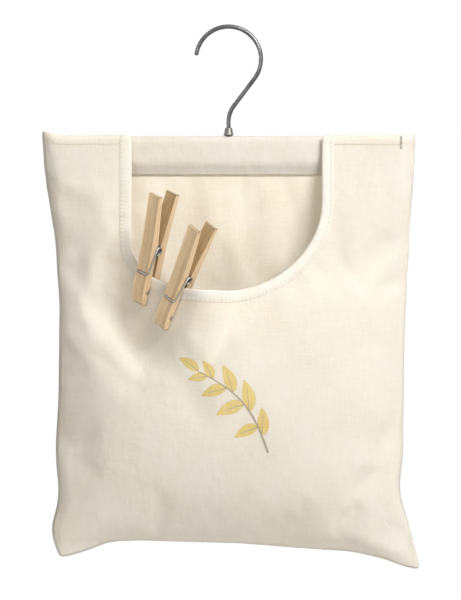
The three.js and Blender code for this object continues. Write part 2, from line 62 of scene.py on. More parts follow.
# Sizes in metres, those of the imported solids
CLOTH = 0.0008
GAP = 0.0003
WIDTH = 0.275
HEIGHT = 0.315
FRONT_SWELL = 0.040
BACK_SWELL = 0.030
FRONT_SAG = 1.5
BACK_SAG = 2
SIDE_PINCH = 0.010
BOTTOM_RISE = 0.015
BOTTOM_SKEW = 0.0035
CASING = 0.029
CASING_END = 0.008
CASING_FADE = 0.075
MOUTH_LEFT = 0.072
MOUTH_RIGHT = 0.0695
MOUTH_DEPTH = 0.115
MOUTH_LOWEST = -0.005
LEFT_CORNER = 0.0415
RIGHT_CORNER = 0.0675
LEFT_SQUARENESS = 2.5
RIGHT_SQUARENESS = 2
TAPE_WIDTH = 0.008
TAPE = 0.0005
TAPE_ROOM = 0.0006
BAR_HEIGHT = 0.018
BAR_THICKNESS = 0.008
WIRE = 0.0033
NECK_HEIGHT = 0.0104
NECK_RADIUS = 0.020
NECK_ANGLE = 37
CROOK_RADIUS = 0.024
CROOK_TIP_ANGLE = 170
PEG_LENGTH = 0.085
PEG_BREADTH = 0.010
PEG_THICKNESS = 0.006
PEG_TIP = 0.0026
JAW_TAPER = 0.015
LINE_NOTCH_FROM_TIP = 0.010
LINE_NOTCH_RADIUS = 0.0024
HANDLE_SPREAD = 0.006
HANDLE_FLARE = 0.003
HANDLE_ROUND = 0.0012
COIL_FROM_TIP = 0.042
COIL_RADIUS = 0.0032
COIL_TURNS = 5
SPRING_WIRE = 0.0014
ARM_REACH = 0.017
ARM_END = 0.004
ARM_BEND = 0.0016
GRIP_FLAT = 0.011
GRIP_FADE = 0.034

# Powers that round off the filled bag: its sides, its bottom, and its swell at the seams, across and down
SIDE_CURVE = 0.6
BOTTOM_CURVE = 4
SWELL_EDGE = 2.4
SWELL_ACROSS = 0.8
SWELL_DOWN = 0.65

SEAM_HALF = (CLOTH + GAP) / 2
HEM_HALF = CLOTH / 2 + TAPE_ROOM + TAPE
BAR_HALF = WIDTH / 2 - CASING_END
BAR_TOP = -(CLOTH + GAP)
BAR_BOTTOM = BAR_TOP - BAR_HEIGHT
LEG_HALF = BAR_THICKNESS / 2 + GAP + CLOTH / 2
JAW_HALF = HEM_HALF + GAP
OUTER_FACE = JAW_HALF + PEG_THICKNESS
COIL_SEAT = COIL_RADIUS + SPRING_WIRE / 2 + GAP
ARM_SIDE = PEG_BREADTH / 2 + GAP + SPRING_WIRE / 2
ARM_GROOVE = SPRING_WIRE / 2 + 2 * GAP

# The bag's top fold, from the bar under it
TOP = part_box("hanger_bar")[1].z - BAR_TOP


def clamp(t, low=0.0, high=1.0):
    return max(low, min(high, t))


def lerp(a, b, t):
    return a + (b - a) * t


def smoothstep(t, low, high):
    t = clamp((t - low) / (high - low))
    return t * t * (3 - 2 * t)


# Shape of the filled bag, with z down from the top fold, as the solids have it
def half_width(z):
    return WIDTH / 2 - SIDE_PINCH * math.sin(math.pi * clamp(-z / HEIGHT)) ** SIDE_CURVE


def bag_height(u):
    return HEIGHT + BOTTOM_SKEW * u - BOTTOM_RISE * (1 - u**BOTTOM_CURVE)


BAR_END = (BAR_HALF + GAP) / half_width(BAR_BOTTOM)


def fullness(u, v, sag):
    across = clamp(1 - abs(u) ** SWELL_EDGE) ** SWELL_ACROSS
    return across * max(math.sin(math.pi * clamp(v) ** sag), 0.0) ** SWELL_DOWN


def past_bar(x, z):
    return smoothstep(abs(x) / half_width(z), BAR_END, 1)


def casing_half(x, z):
    below_bar = smoothstep(-z, -BAR_BOTTOM, CASING)
    return lerp(LEG_HALF, SEAM_HALF, max(past_bar(x, z), below_bar))


def back_y(x, z, share=1):
    u = x / half_width(z)
    down = (-z - CASING) / (bag_height(u) - CASING)
    return casing_half(x, z) + share * BACK_SWELL * fullness(u, down, BACK_SAG)


def free_front_y(x, z, share=1):
    u = x / half_width(z)
    over_bar = LEG_HALF + CLOTH / 2 + GAP + HEM_HALF
    over_casing = lerp(over_bar, SEAM_HALF + CLOTH + 2 * GAP, past_bar(x, z))
    faded = smoothstep(-z, CASING, CASING + CASING_FADE)
    swell = share * FRONT_SWELL * fullness(u, -z / bag_height(u), FRONT_SAG)
    return -(lerp(over_casing, SEAM_HALF, faded) + swell)


# Pegs: each one's frame comes from its joints, with x along the coil, -y out of the bag and z to the handles
joints = {joint["name"]: joint for joint in frame["joints"]}


def peg_frame(name):
    axis = Vector(joints[name + "_pull"]["axis"]).normalized()
    side = -Vector(joints[name + "_squeeze"]["axis"]).normalized()
    coil = Vector(joints[name + "_squeeze"]["pos_m"])
    rows = Matrix((side, axis.cross(side), axis)).transposed()
    return Matrix.Translation(coil) @ rows.to_4x4()


PEGS = {name: peg_frame(name) for name in ("peg_1", "peg_2")}
# How far each peg's jaws reach over the cloth
PEG_BITES = {"peg_1": 0.022, "peg_2": 0.033}


def bite_ends(name):
    """Both ends, at the tip and up the jaws, of the line along which a peg holds the cloth."""
    place = PEGS[name]
    tip = place @ Vector((0, 0, -COIL_FROM_TIP))
    return tip, place @ Vector((0, 0, PEG_BITES[name] - COIL_FROM_TIP))


def off_bite(x, z, name):
    """How far a place of the front lies from the line that a peg holds, seen from the front."""
    tip, top = (np.array((p.x, p.z - TOP)) for p in bite_ends(name))
    run = top - tip
    along = clamp(np.dot((x, z) - tip, run) / np.dot(run, run))
    return float(np.linalg.norm((x, z) - tip - along * run))


def grip_y(x, z):
    """The plane of the jaws, in which the cloth under both pegs lies."""
    place = PEGS["peg_2"]
    out = -(place.to_3x3() @ Vector((0, 1, 0)))
    point = place.translation
    return point.y - (out.x * (x - point.x) + out.z * (z + TOP - point.z)) / out.y


def held(x, z, flat, fade):
    """How far the pegs hold a place: 1 within flat of a bite, fading to 0."""
    freed = 1.0
    for name in PEGS:
        freed *= smoothstep(off_bite(x, z, name), flat, flat + fade)
    return 1 - freed


def front_y(x, z, share=1):
    return lerp(free_front_y(x, z, share), grip_y(x, z), held(x, z, GRIP_FLAT, GRIP_FADE))


# Seams of the filled bag: places along each one, rounded off between them
LEFT_SEAM = [(0, -0.1378), (0.1, -0.1352), (0.25, -0.1278), (0.4, -0.1248), (0.62, -0.1256), (0.76, -0.1278)]
LEFT_SEAM += [(0.86, -0.1250), (0.94, -0.1318), (0.97, -0.1288), (1, -0.1230)]
RIGHT_SEAM = [(0, 0.1378), (0.08, 0.1374), (0.16, 0.1348), (0.3, 0.1328), (0.45, 0.1302), (0.74, 0.1288)]
RIGHT_SEAM += [(0.82, 0.1258), (0.88, 0.1315), (0.94, 0.1375), (1, 0.1415)]
BOTTOM_SEAM = [(-1, 0.3112), (-0.95, 0.3105), (-0.86, 0.3073), (-0.72, 0.3001), (-0.55, 0.2991), (0, 0.3012)]
BOTTOM_SEAM += [(0.4, 0.3052), (0.63, 0.3075), (0.8, 0.3125), (0.92, 0.3185), (1, 0.3205)]
SEAM_BLUR = 0.03
LEFT_LIFT = 0.0036
RIGHT_LIFT = 0.001
LIFT_ACROSS = 0.9
LIFT_DOWN = (0.01, 0.12)
PLACE_ROUNDS = 6


def along_seam(seam, t):
    at, place = zip(*seam)
    nearby = [t + SEAM_BLUR * k for k in (-1, -0.5, 0, 0.5, 1)]
    return float(np.mean(np.interp(nearby, at, place)))


def corner_lift(u, v):
    """How far the top corners stand up, past the ends of the bar."""
    height = LEFT_LIFT if u < 0 else RIGHT_LIFT
    return height * smoothstep(abs(u), LIFT_ACROSS, 1) * (1 - smoothstep(v, *LIFT_DOWN))


def filled(u, v):
    """Where a place of the flat cut, u across and v down, lies in the filled bag, seen from the front."""
    x = lerp(along_seam(LEFT_SEAM, v), along_seam(RIGHT_SEAM, v), (u + 1) / 2)
    return x, corner_lift(u, v) - v * along_seam(BOTTOM_SEAM, u)


def cut_place(x, z):
    """The place of the flat cut that lies at x, z in the filled bag."""
    u = x / (WIDTH / 2)
    for _ in range(PLACE_ROUNDS):
        v = -z / along_seam(BOTTOM_SEAM, u)
        left, right = along_seam(LEFT_SEAM, v), along_seam(RIGHT_SEAM, v)
        u = 2 * (x - left) / (right - left) - 1
    return u, v


def flat_of(u, v):
    """A place of the flat cut in metres."""
    return u * WIDTH / 2, -v * HEIGHT


# Mouth: its outline from the top of its left side round to the top of its right side
STRAIGHT_STEPS = 40
CORNER_STEPS = 60
SIDES = [
    (MOUTH_LOWEST + MOUTH_LEFT, LEFT_CORNER, LEFT_SQUARENESS, -1),
    (MOUTH_RIGHT - MOUTH_LOWEST, RIGHT_CORNER, RIGHT_SQUARENESS, 1),
]


def mouth_side(reach, corner, squareness, way):
    """Half the outline: a straight side, then a corner that runs on to the lowest point."""
    straight = np.linspace(0, corner - MOUTH_DEPTH, STRAIGHT_STEPS)[:-1]
    points = [(MOUTH_LOWEST + way * reach, z) for z in straight]
    for angle in np.linspace(0, math.pi / 2, CORNER_STEPS):
        across = max(math.cos(angle), 0) ** (2 / squareness)
        down = math.sin(angle) ** (2 / squareness)
        points.append((MOUTH_LOWEST + way * reach * across, corner - MOUTH_DEPTH - corner * down))
    return points


def runs(points):
    """How far along a line each of its points lies."""
    return np.concatenate([[0], np.cumsum(np.linalg.norm(np.diff(points, axis=0), axis=1))])


def spaced(points, step):
    """Points along a line, evenly spaced."""
    points = np.array(points, float)
    run = runs(points)
    at = np.linspace(0, run[-1], max(2, round(run[-1] / step) + 1))
    return np.stack([np.interp(at, run, points[:, k]) for k in range(points.shape[1])], axis=1)


MOUTH = mouth_side(*SIDES[0]) + mouth_side(*SIDES[1])[::-1][1:]


def in_mouth(x, z):
    reach, corner, squareness, _ = SIDES[0 if x < MOUTH_LOWEST else 1]
    if z < -MOUTH_DEPTH:
        return False
    down = clamp((-z - (MOUTH_DEPTH - corner)) / corner)
    return abs(x - MOUTH_LOWEST) < reach * (1 - down**squareness) ** (1 / squareness)


# Shader nodes
def node(tree, kind, inputs=None, **settings):
    made = tree.nodes.new("ShaderNode" + kind)
    for key, value in settings.items():
        setattr(made, key, value)
    for key, value in (inputs or {}).items():
        if isinstance(value, bpy.types.NodeSocket):
            tree.links.new(value, made.inputs[key])
        else:
            made.inputs[key].default_value = value
    return made


def new_material(name):
    material = bpy.data.materials.new(name)
    material.use_nodes = True
    tree = material.node_tree
    return material, tree, tree.nodes["Principled BSDF"]


def math_of(tree, operation, a, b=0.0):
    return node(tree, "Math", {0: a, 1: b}, operation=operation).outputs[0]


def weighted(tree, a, a_share, b, b_share):
    parts = [math_of(tree, "MULTIPLY", value, share) for value, share in ((a, a_share), (b, b_share))]
    return math_of(tree, "ADD", *parts)


def remapped(tree, value, low, high, to_low, to_high):
    """The value with its span from low to high spread over another."""
    return node(tree, "MapRange", {0: value, 1: low, 2: high, 3: to_low, 4: to_high}).outputs[0]


def mixed_colour(tree, share, colour, other):
    return node(tree, "Mix", {0: share, 6: colour, 7: (*other, 1)}, data_type="RGBA").outputs[2]


def stretched_noise(tree, coords, scale, size=1.0, detail=3.0):
    mapped = node(tree, "Mapping", {"Vector": coords, "Scale": scale}).outputs[0]
    return node(tree, "TexNoise", {"Vector": mapped, "Scale": size, "Detail": detail}).outputs["Fac"]


def colour_ramp(tree, factor, stops):
    ramp = node(tree, "ValToRGB", {"Fac": factor})
    elements = ramp.color_ramp.elements
    while len(elements) < len(stops):
        elements.new(0.5)
    for element, (place, colour) in zip(elements, stops):
        element.position = place
        element.color = (*colour, 1)
    return ramp.outputs["Color"]


SEED = (0.42, 0.28, 0.14)
END_GRAIN = (0.26, 0.19, 0.11)
COTTON = {
    "Roughness": 0.92,
    "Specular IOR Level": 0.2,
    "Sheen Weight": 0.12,
    "Sheen Roughness": 0.45,
    "Subsurface Radius": (1, 0.96, 0.90),
    "Subsurface Scale": 0.0018,
}


def weave_material(name, stops, pitch, weave_depth, crumple, glow=0.25):
    """Plain-woven cotton, its threads laid by the flat cut: weave, slubs, seed flecks and soft creasing.

    Lengths are in metres: the threads' pitch, the weave's depth and the creases' depth. glow is the share of
    the light that goes into the cloth instead of off its face.
    """
    material, tree, shader = new_material(name)
    coords = node(tree, "TexCoord").outputs["UV"]
    split = node(tree, "SeparateXYZ", {0: coords})
    turns = [math_of(tree, "MULTIPLY", split.outputs[k], 2 * math.pi / pitch) for k in (0, 1)]
    weave = math_of(tree, "MULTIPLY", *[math_of(tree, "SINE", turn) for turn in turns])
    slubs = math_of(
        tree,
        "MULTIPLY",
        stretched_noise(tree, coords, (900, 60, 1)),
        stretched_noise(tree, coords, (60, 900, 1)),
    )
    mottle = stretched_noise(tree, coords, (22, 22, 1), detail=5.0)
    colour = colour_ramp(tree, weighted(tree, mottle, 0.7, slubs, 0.8), stops)
    flecks = node(tree, "TexVoronoi", {"Vector": coords, "Scale": 190.0, "Randomness": 1.0})
    fleck = remapped(tree, flecks.outputs["Distance"], 0.05, 0.09, 0.22, 0.0)
    tree.links.new(mixed_colour(tree, fleck, colour, SEED), shader.inputs["Base Color"])
    fine = math_of(tree, "ADD", weave, math_of(tree, "MULTIPLY", slubs, 1.5))
    woven = node(tree, "Bump", {"Height": fine, "Strength": 0.4, "Distance": weave_depth}).outputs[0]
    creases = stretched_noise(tree, coords, (55, 42, 1), detail=6.0)
    creased = node(tree, "Bump", {"Height": creases, "Strength": 0.6, "Distance": crumple, "Normal": woven})
    tree.links.new(creased.outputs[0], shader.inputs["Normal"])
    for key, value in (COTTON | {"Subsurface Weight": glow}).items():
        shader.inputs[key].default_value = value
    return material


def wood_material(name, stops, middle=None, half_length=0.0):
    """Planed softwood, its grain along the piece's own length, with darker ends where that is given."""
    material, tree, shader = new_material(name)
    coords = node(tree, "TexCoord").outputs["Object"]
    drift = node(tree, "ObjectInfo").outputs["Random"]
    place = node(tree, "VectorMath", {0: coords, 1: drift}, operation="ADD").outputs[0]
    rings = stretched_noise(tree, place, (420, 420, 14), detail=2.0)
    fibres = stretched_noise(tree, place, (2600, 2600, 70), detail=4.0)
    colour = colour_ramp(tree, weighted(tree, rings, 0.65, fibres, 0.35), stops)
    if middle is not None:
        along = math_of(tree, "SUBTRACT", node(tree, "SeparateXYZ", {0: coords}).outputs[2], middle)
        to_end = math_of(tree, "SUBTRACT", half_length, math_of(tree, "ABSOLUTE", along))
        ragged = math_of(tree, "ADD", to_end, math_of(tree, "MULTIPLY", fibres, 0.0015))
        end = remapped(tree, ragged, 0.0006, 0.0024, 0.6, 0.0)
        colour = mixed_colour(tree, end, colour, END_GRAIN)
    tree.links.new(colour, shader.inputs["Base Color"])
    tree.links.new(remapped(tree, fibres, 0.3, 0.7, 0.5, 0.72), shader.inputs["Roughness"])
    bump = node(tree, "Bump", {"Height": fibres, "Strength": 0.35, "Distance": 0.0003})
    tree.links.new(bump.outputs[0], shader.inputs["Normal"])
    shader.inputs["Specular IOR Level"].default_value = 0.3
    return material


def steel_material(name, dark, light, roughness):
    """Drawn or plated steel: faint lengthways scratches and dull patches."""
    material, tree, shader = new_material(name)
    coords = node(tree, "TexCoord").outputs["Object"]
    patches = stretched_noise(tree, coords, (160, 160, 160), detail=4.0)
    scratches = stretched_noise(tree, coords, (3000, 3000, 300), detail=2.0)
    colour = colour_ramp(tree, patches, [(0.3, dark), (0.7, light)])
    tree.links.new(colour, shader.inputs["Base Color"])
    rough = remapped(tree, scratches, 0.3, 0.7, roughness * 0.7, roughness * 1.3)
    tree.links.new(rough, shader.inputs["Roughness"])
    bump = node(tree, "Bump", {"Height": scratches, "Strength": 0.12, "Distance": 0.0001})
    tree.links.new(bump.outputs[0], shader.inputs["Normal"])
    shader.inputs["Metallic"].default_value = 1.0
    return material


CREAM = [(0.25, (0.81, 0.715, 0.605)), (0.5, (0.87, 0.79, 0.69)), (0.75, (0.91, 0.84, 0.75))]
PALE = [(0.25, (0.90, 0.85, 0.74)), (0.75, (0.95, 0.91, 0.82))]
YELLOW = [(0.3, (0.70, 0.52, 0.17)), (0.7, (0.80, 0.66, 0.30))]
GREY = [(0.3, (0.40, 0.34, 0.26)), (0.7, (0.52, 0.45, 0.35))]
THREAD = [(0.3, (0.76, 0.66, 0.51)), (0.7, (0.86, 0.77, 0.63))]
DARK_THREAD = [(0.3, (0.44, 0.42, 0.38)), (0.7, (0.54, 0.52, 0.48))]
PINE = [(0.3, (0.66, 0.47, 0.27)), (0.5, (0.83, 0.63, 0.40)), (0.72, (0.90, 0.71, 0.49))]
# Painted shade: darker wood for the faces of each peg half that face the other half, standing in for the
# shade between the halves
SHADED_INNER = [(0.3, (0.46, 0.31, 0.15)), (0.5, (0.60, 0.43, 0.23)), (0.72, (0.68, 0.50, 0.29))]
BAR_PINE = [(0.3, (0.50, 0.32, 0.16)), (0.5, (0.62, 0.43, 0.23)), (0.7, (0.68, 0.50, 0.30))]
CANVAS_WEAVE = (0.0011, 0.00015)
TAPE_WEAVE = (0.0011, 0.00014)
THREAD_TWIST = (0.0006, 0.00008)
PEG_MIDDLE = PEG_LENGTH / 2 - COIL_FROM_TIP
canvas = weave_material("canvas", CREAM, *CANVAS_WEAVE, 0.0016, glow=0.8)
tape = weave_material("binding_tape", PALE, *TAPE_WEAVE, 0.0005)
thread = weave_material("sewing_thread", THREAD, *THREAD_TWIST, 0.0001)
tack_thread = weave_material("tack_thread", DARK_THREAD, *THREAD_TWIST, 0.0001)
peg_wood = wood_material("peg_wood", PINE, PEG_MIDDLE, PEG_LENGTH / 2)
# The inner faces of the peg halves get this darker wood, as painted shade between the halves
shaded_inner_wood = wood_material("peg_wood_painted_shade", SHADED_INNER, PEG_MIDDLE, PEG_LENGTH / 2)
bar_wood = wood_material("bar_wood", BAR_PINE)
print_yellow = weave_material("print_yellow", YELLOW, *CANVAS_WEAVE, 0.0006)
print_grey = weave_material("print_grey", GREY, *CANVAS_WEAVE, 0.0006)
hook_wire = steel_material("hook_wire", (0.10, 0.10, 0.105), (0.19, 0.19, 0.195), 0.28)
plated = steel_material("plated_steel", (0.38, 0.37, 0.34), (0.52, 0.51, 0.48), 0.34)
collar_steel = steel_material("collar_steel", (0.17, 0.165, 0.15), (0.27, 0.265, 0.24), 0.4)


# Meshes
def grid_faces(rows, columns):
    return [
        [j * columns + i, (j + 1) * columns + i, (j + 1) * columns + i + 1, j * columns + i + 1]
        for j in range(rows - 1)
        for i in range(columns - 1)
    ]


def tube_faces(rings, sides, first=0):
    """Faces of a tube of rings of points, capped at both ends, from the point first on."""
    faces = []
    for near in range(first, first + (rings - 1) * sides, sides):
        far = near + sides
        for k in range(sides):
            n = (k + 1) % sides
            faces.append([near + k, near + n, far + n, far + k])
    faces.append([first + k for k in reversed(range(sides))])
    faces.append([first + (rings - 1) * sides + k for k in range(sides)])
    return faces


def round_angles(count):
    return np.linspace(0, 2 * math.pi, count + 1)[:-1]


def new_object(name, points, faces, material, flat=None):
    """A smooth mesh object, with the flat cut's coordinates in metres as its UVs where it has any."""
    mesh = bpy.data.meshes.new(name)
    mesh.from_pydata([tuple(p) for p in points], [], faces)
    mesh.shade_smooth()
    mesh.materials.append(material)
    if flat is not None:
        layer = mesh.uv_layers.new(name="flat")
        at = np.zeros(len(mesh.loops), np.int32)
        mesh.loops.foreach_get("vertex_index", at)
        layer.data.foreach_set("uv", np.array(flat, np.float32)[at].ravel())
    made = bpy.data.objects.new(name, mesh)
    scene.collection.objects.link(made)
    return made


# Bag: both panels are simulated as one mesh, sewn at the sides and bottom, from the filled shape
COLUMNS = 56
ROWS = 64
CASING_ROW = 6
SLACK = 0.012
SETTLE_FRAMES = 30
RIM_ROUNDS = 8
# Shares of each panel's swell that the slack cloth starts from, so that it settles at the whole of it
FRONT_START = 0.9
BACK_START = 0.82


def mouth_rim(kept, grid):
    """Where the grid's corners along the mouth come to lie on its outline, evenly enough that no two meet."""
    uses = Counter(frozenset(pair) for corners in kept for pair in zip(corners, corners[1:] + corners[:1]))
    beside = {}
    for edge, count in uses.items():
        inner = all(0 < i < COLUMNS and j < ROWS for i, j in edge)
        if count == 1 and inner and any(j > 0 for _, j in edge):
            a, b = edge
            beside.setdefault(a, []).append(b)
            beside.setdefault(b, []).append(a)
    chain = [min(c for c in beside if len(beside[c]) == 1)]
    while len(chain) < len(beside):
        chain.append(next(c for c in beside[chain[-1]] if c not in chain[-2:]))
    outline = spaced(MOUTH, 0.0005)
    run = np.array([np.argmin(np.linalg.norm(outline - grid[c][:2], axis=1)) for c in chain], float)
    run[0], run[-1] = 0, len(outline) - 1
    for _ in range(RIM_ROUNDS):
        run[1:-1] = (run[:-2] + run[2:]) / 2
    at = np.arange(len(outline))
    across, down = (np.interp(run, at, outline[:, k]) for k in (0, 1))
    return {c: (float(x), float(z)) for c, x, z in zip(chain, across, down)}


def bag_mesh():
    """The filled bag: its points, their flat places, and each panel's points by grid place and its faces."""
    points, flat, front, back = [], [], {}, {}

    def add(store, key, x, y, z, uv):
        store[key] = len(points)
        points.append((x, y, z))
        flat.append(flat_of(*uv))

    grid = {}
    for j in range(ROWS + 1):
        for i in range(COLUMNS + 1):
            u, v = 2 * i / COLUMNS - 1, j / ROWS
            grid[i, j] = (*filled(u, v), u, v)
    kept = []
    for j in range(ROWS):
        for i in range(COLUMNS):
            corners = [(i, j), (i + 1, j), (i + 1, j + 1), (i, j + 1)]
            x, z = np.mean([grid[c][:2] for c in corners], axis=0)
            if not in_mouth(x, z):
                kept.append(corners)
    for key, (x, z) in mouth_rim(kept, grid).items():
        grid[key] = (x, z, *cut_place(x, z))
    for key in dict.fromkeys(c for corners in kept for c in corners):
        x, z, u, v = grid[key]
        seam = key[0] in (0, COLUMNS) or key[1] == ROWS
        y = 0.0 if seam and key[1] >= CASING_ROW else front_y(x, z, FRONT_START)
        add(front, key, x, y, z, (u, v))
    for j in range(CASING_ROW, ROWS + 1):
        for i in range(COLUMNS + 1):
            if i in (0, COLUMNS) or j == ROWS:
                back[i, j] = front[i, j]
            else:
                x, z, u, v = grid[i, j]
                add(back, (i, j), x, back_y(x, z, BACK_START), z, (u, v))
    front_faces = [[front[c] for c in reversed(corners)] for corners in kept]
    back_faces = [
        [back[i, j], back[i + 1, j], back[i + 1, j + 1], back[i, j + 1]]
        for j in range(CASING_ROW, ROWS)
        for i in range(COLUMNS)
    ]
    return np.array(points), np.array(flat), front, back, front_faces, back_faces


points, flat, front, back, front_faces, back_faces = bag_mesh()


# How firmly the cloth is held, in full or by a share, and the distances over which each hold fades
TOP_FADE = (-BAR_BOTTOM - 0.004, CASING + 0.012)
HEM_HOLD = 0.35
HEM_FADE = (0.002, 0.02)
SEAM_HOLD = 0.8
BITE_FLAT = 0.009
BITE_FADE = 0.016
# The share of the contents' push that the back takes behind the mouth, and where it grows to the whole
BACK_PUSH = 0.15
BACK_PUSH_GROWS = (0.09, 0.19)


def pin_weights():
    """How firmly each point is held: fully at the casing and the pegs, less at the seams and the mouth."""
    weights = np.zeros(len(points))
    outline = spaced(MOUTH, 0.002)
    for (i, j), at in front.items():
        x, _, z = points[at]
        from_mouth = np.min(np.linalg.norm(outline - (x, z), axis=1))
        top = 1 - smoothstep(-z, *TOP_FADE)
        hem = HEM_HOLD * (1 - smoothstep(from_mouth, *HEM_FADE))
        weights[at] = max(top, hem, held(x, z, BITE_FLAT, BITE_FADE))
        if i in (0, COLUMNS) or j == ROWS:
            weights[at] = max(weights[at], SEAM_HOLD)
    for (_, j), at in back.items():
        if j == CASING_ROW:
            weights[at] = 1.0
    return weights


def push_weights():
    """How much of the contents' push each point takes: the back hangs nearly flat behind the mouth."""
    weights = np.ones(len(points))
    for at in back.values():
        weights[at] = lerp(BACK_PUSH, 1, smoothstep(-points[at][2], *BACK_PUSH_GROWS))
    return weights


def simulate():
    """The cloth as it settles with a little slack, pushed out by its contents and hung by its pins."""
    bag = new_object("bag_cloth", points, front_faces + back_faces, canvas)
    for name, weights in {"pins": pin_weights(), "push": push_weights()}.items():
        group = bag.vertex_groups.new(name=name)
        for at, weight in enumerate(weights):
            group.add([at], float(weight), "REPLACE")
    cloth = bag.modifiers.new("cloth", "CLOTH")
    settings = cloth.settings
    settings.quality = 6
    settings.mass = 0.3
    settings.tension_stiffness = 40
    settings.compression_stiffness = 40
    settings.shear_stiffness = 20
    settings.bending_stiffness = 1.2
    settings.air_damping = 2
    settings.vertex_group_mass = "pins"
    settings.pin_stiffness = 1
    settings.shrink_min = -SLACK
    settings.use_pressure = True
    settings.uniform_pressure_force = 2.5
    settings.vertex_group_pressure = "push"
    settings.effector_weights.gravity = 0.05
    cloth.point_cache.frame_start = 1
    cloth.point_cache.frame_end = SETTLE_FRAMES + 10
    for now in range(1, SETTLE_FRAMES + 1):
        scene.frame_set(now)
    shown = bag.evaluated_get(bpy.context.evaluated_depsgraph_get()).to_mesh()
    settled = np.zeros(len(points) * 3, np.float32)
    shown.vertices.foreach_get("co", settled)
    bpy.data.objects.remove(bag)
    scene.frame_set(1)
    return settled.reshape(-1, 3).astype(float)


settled = simulate()


def unit(vector):
    vector = np.array(vector, float)
    return vector / np.linalg.norm(vector)


def smoothed(obj):
    """The object with one subdivision applied."""
    smooth = obj.modifiers.new("smooth", "SUBSURF")
    smooth.levels = smooth.render_levels = 1
    shown = obj.evaluated_get(bpy.context.evaluated_depsgraph_get())
    mesh = bpy.data.meshes.new_from_object(shown)
    obj.modifiers.clear()
    obj.data = mesh
    return obj


def panel(name, faces):
    """A panel of the settled bag."""
    used = sorted({at for face in faces for at in face})
    index = {at: k for k, at in enumerate(used)}
    places = settled[used] + (0, 0, TOP)
    own_faces = [[index[at] for at in face] for face in faces]
    return smoothed(new_object(name, places, own_faces, canvas, flat[used]))


front_panel = panel("front_cloth", front_faces)

# The turned edge above the shoulder stitching stands a little proud of it
SHOULDER_STITCH = -0.0068
SHOULDER_ROLL = 0.0009
turned_edge = {
    loop.vertex_index: clamp(uv.uv[1] / SHOULDER_STITCH)
    for loop, uv in zip(front_panel.data.loops, front_panel.data.uv_layers[0].data)
}
for at, down in turned_edge.items():
    front_panel.data.vertices[at].co.y -= SHOULDER_ROLL * math.sin(math.pi * down) ** 2
front_panel.data.update()


def casing_point(kind, u, at):
    """A point of the casing round the bar: its front leg, its fold by angle, or its back leg."""
    if kind == "fold":
        z = -CLOTH / 2 - LEG_HALF * (1 - math.sin(math.radians(at)))
        x = filled(u, -z / HEIGHT)[0]
        return x, casing_half(x, -CLOTH / 2) * math.cos(math.radians(at)), z + corner_lift(u, -z / HEIGHT)
    x = filled(u, -at / HEIGHT)[0]
    return x, casing_half(x, at) * (-1 if kind == "front" else 1), at + corner_lift(u, -at / HEIGHT)


def casing_rows():
    """The back panel's top: up in front of the bar, over it and down behind, to the stitch line."""
    leg_top = -CLOTH / 2 - LEG_HALF
    places = [("front", z) for z in np.linspace(-CASING, leg_top, 9)[:-1]]
    places += [("fold", angle) for angle in np.linspace(180, 0, 13)]
    places += [("back", z) for z in np.linspace(leg_top, -CASING, 8)[1:-1]]
    across = np.linspace(-1, 1, COLUMNS + 1)
    return [[casing_point(kind, u, at) for u in across] for kind, at in places]


def back_cloth():
    """The back panel, and how far down its cut the stitch line runs behind the bar."""
    rows = casing_rows()
    stitch_row = len(rows)
    rows += [[settled[back[i, j]] for i in range(COLUMNS + 1)] for j in range(CASING_ROW, ROWS + 1)]
    grid = np.array(rows) + (0, 0, TOP)
    middle = grid[:, COLUMNS // 2]
    run = runs(middle)
    cut = [(x, -down) for down in run for x in np.linspace(-WIDTH / 2, WIDTH / 2, COLUMNS + 1)]
    made = new_object("back_cloth", grid.reshape(-1, 3), grid_faces(*grid.shape[:2]), canvas, cut)
    return smoothed(made), run[stitch_row]


back_panel, back_stitch_run = back_cloth()


def thicken(obj, thickness, offset=0):
    solid = obj.modifiers.new("thickness", "SOLIDIFY")
    solid.thickness = thickness
    solid.offset = offset
    return obj


class Surface:
    """Finds places on a panel by their places on the flat cut."""

    def __init__(self, obj):
        mesh = obj.data
        mesh.calc_loop_triangles()
        self.points = np.array([v.co for v in mesh.vertices])
        self.normals = np.array([v.normal for v in mesh.vertices])
        self.flat = np.zeros((len(mesh.vertices), 3))
        for loop, uv in zip(mesh.loops, mesh.uv_layers[0].data):
            self.flat[loop.vertex_index] = (uv.uv[0], 0, uv.uv[1])
        self.triangles = [tuple(t.vertices) for t in mesh.loop_triangles]
        self.tree = BVHTree.FromPolygons([Vector(p) for p in self.flat], self.triangles)

    def at(self, x, z):
        """The point at flat place x, z, and the cloth's outward direction there."""
        near, _, index, _ = self.tree.find_nearest((x, 0, z))
        corners = list(self.triangles[index])
        a, b, c = self.flat[corners][:, [0, 2]]
        share = np.linalg.solve(np.array([b - a, c - a]).T, np.array([near.x, near.z]) - a)
        weights = np.array([1 - share.sum(), *share])
        return weights @ self.points[corners], unit(weights @ self.normals[corners])


front_surface = Surface(front_panel)
back_surface = Surface(back_panel)
thicken(front_panel, CLOTH)
thicken(back_panel, CLOTH)


# Tape folded over the mouth's edge, drawn down a little at each stitch
TAPE_STITCH = 0.0062
STITCH_PITCH = 0.0031
STITCH_STEPS = 4
STITCH_DIP = 0.00016
DIP_REACH = 0.0012
EDGE_INSET = 0.0002
mouth_cut = spaced([flat_of(*cut_place(x, z)) for x, z in spaced(MOUTH, 0.001)], STITCH_PITCH / STITCH_STEPS)
mouth_run = np.gradient(mouth_cut, axis=0)
mouth_across = np.array([unit((run[1], -run[0])) for run in mouth_run])


